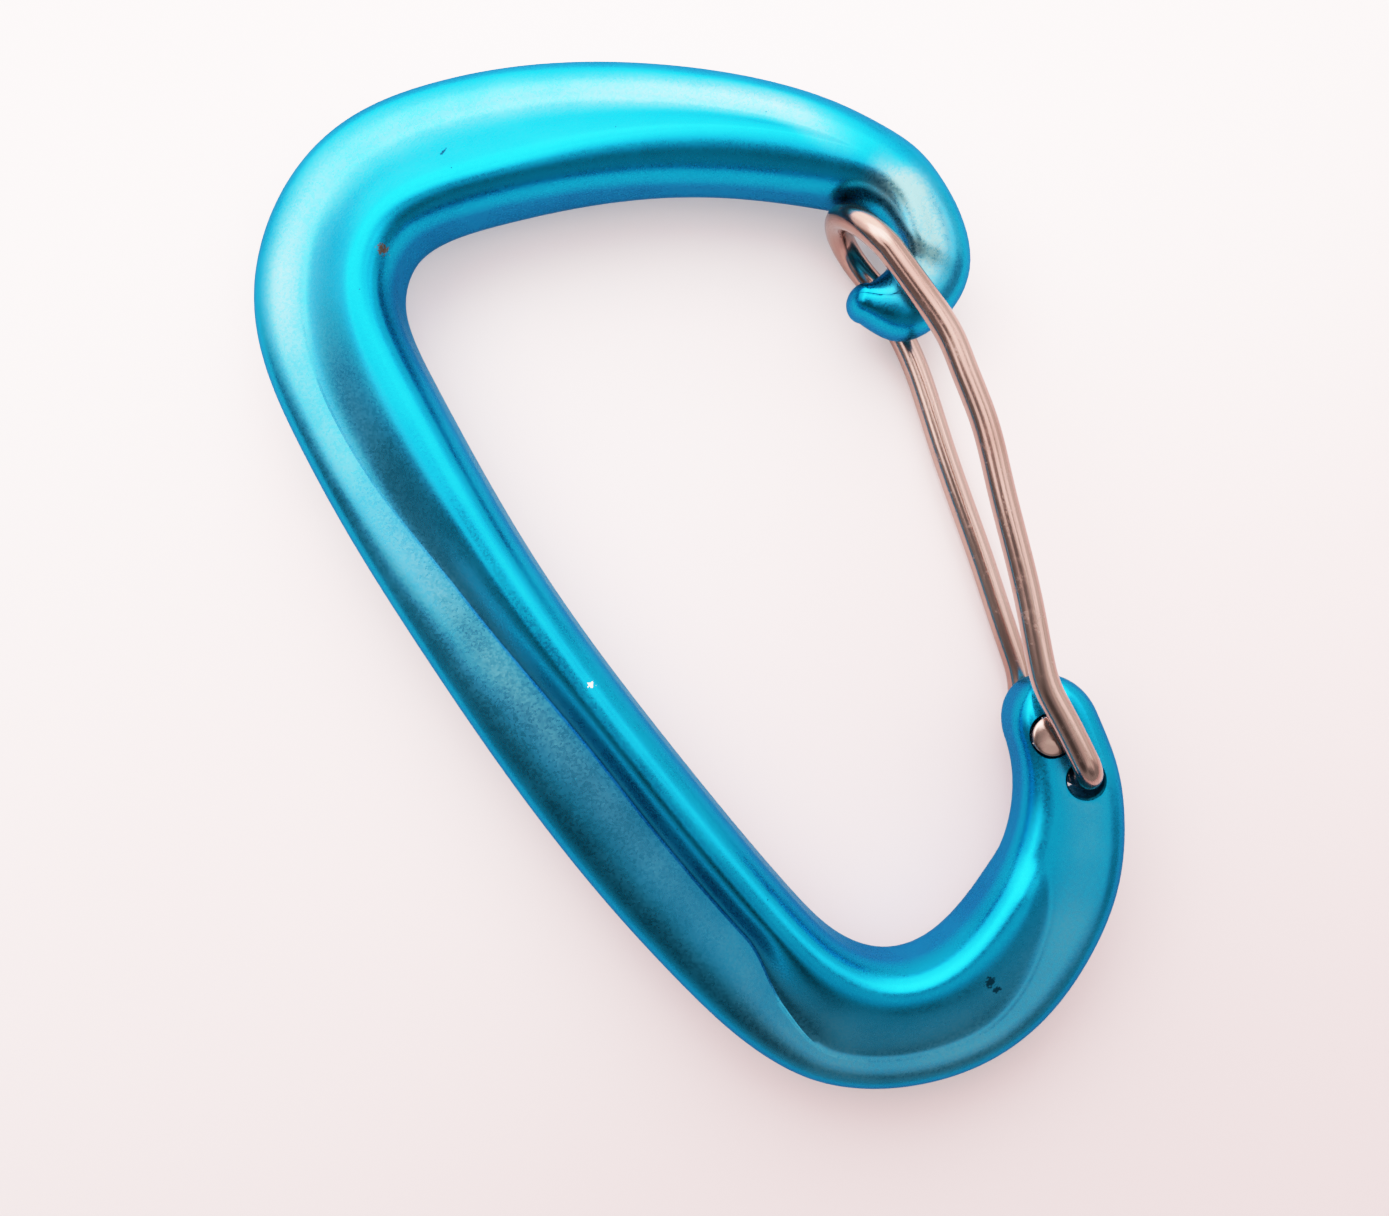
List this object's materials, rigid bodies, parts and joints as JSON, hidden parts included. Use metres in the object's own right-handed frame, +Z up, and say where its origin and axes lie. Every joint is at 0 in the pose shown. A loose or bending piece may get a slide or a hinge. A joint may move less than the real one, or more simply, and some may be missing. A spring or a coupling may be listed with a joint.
{
  "type": "wiregate carabiner",
  "caption": "Wiregate carabiner with a forged asymmetric D body, a hooked nose, a ribbed rope edge and a sprung gate bent from one round wire.",
  "frame": {"origin": "bottom centre of the bounding box, on the surface that the carabiner lies on", "axes": "+Y along the spine to the wide end with the nose, +X across to the gate side, +Z up out of the front face"},
  "size_m": [0.0488, 0.0804, 0.0108],
  "materials": {
    "anodised_body": "satin blue anodising over a bead-blasted forging",
    "gate_wire": "polished drawn stainless wire"
  },
  "bodies": {
    "body": {"body": "anodised_body"},
    "gate_front": {"gate_wire_front": "gate_wire"},
    "gate_back": {"gate_wire_back": "gate_wire"}
  },
  "joints": [
    {"name": "gate_hinge", "type": "hinge", "parent": "body", "child": "gate_front", "pos_m": [0.0101, -0.0263, 0.0054], "axis": [0, 0, 1], "range_deg": [0, 34], "stiffness_Nm_per_rad": 0.45, "springref_deg": -11.46},
    {"name": "gate_flex", "type": "hinge", "parent": "gate_front", "child": "gate_back", "pos_m": [0.017, 0.0156, 0.0054], "axis": [0, 0, 1], "range_deg": [0, 3.2]}
  ],
  "couplings": [
    {"joint": "gate_flex", "follows": "gate_hinge", "ratio": 0.091}
  ]
}
